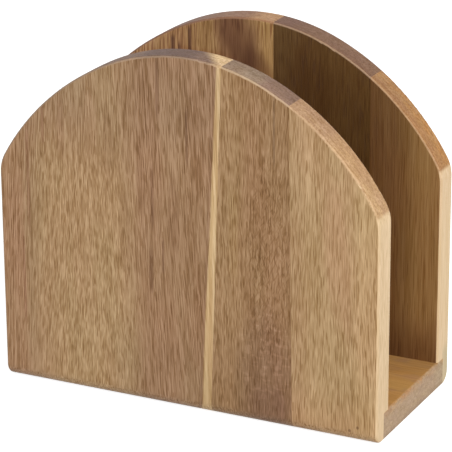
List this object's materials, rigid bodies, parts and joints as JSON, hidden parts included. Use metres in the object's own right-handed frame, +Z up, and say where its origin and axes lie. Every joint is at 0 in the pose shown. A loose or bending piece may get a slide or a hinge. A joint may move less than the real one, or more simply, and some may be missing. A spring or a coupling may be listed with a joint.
{
  "type": "napkin holder",
  "caption": "Upright wooden napkin holder: two arch-topped panels glued up from staves, rabbeted onto a base board, with an open slot between them.",
  "frame": {"origin": "middle of the underside, on the surface that the holder stands on", "axes": "+Z up, +X along the panels to the right as seen from the front panel, +Y from the front panel to the back panel"},
  "size_m": [0.15, 0.0666, 0.1326],
  "materials": {
    "front_left_wood": "oiled satin",
    "front_middle_wood": "oiled satin",
    "front_right_wood": "oiled satin",
    "back_left_wood": "oiled satin",
    "back_middle_wood": "oiled satin",
    "back_right_wood": "oiled satin",
    "base_wood": "oiled satin"
  },
  "bodies": {
    "root": {"front_left_stave": "front_left_wood", "front_middle_stave": "front_middle_wood", "front_right_stave": "front_right_wood", "back_left_stave": "back_left_wood", "back_middle_stave": "back_middle_wood", "back_right_stave": "back_right_wood", "base_board": "base_wood"}
  },
  "joints": []
}
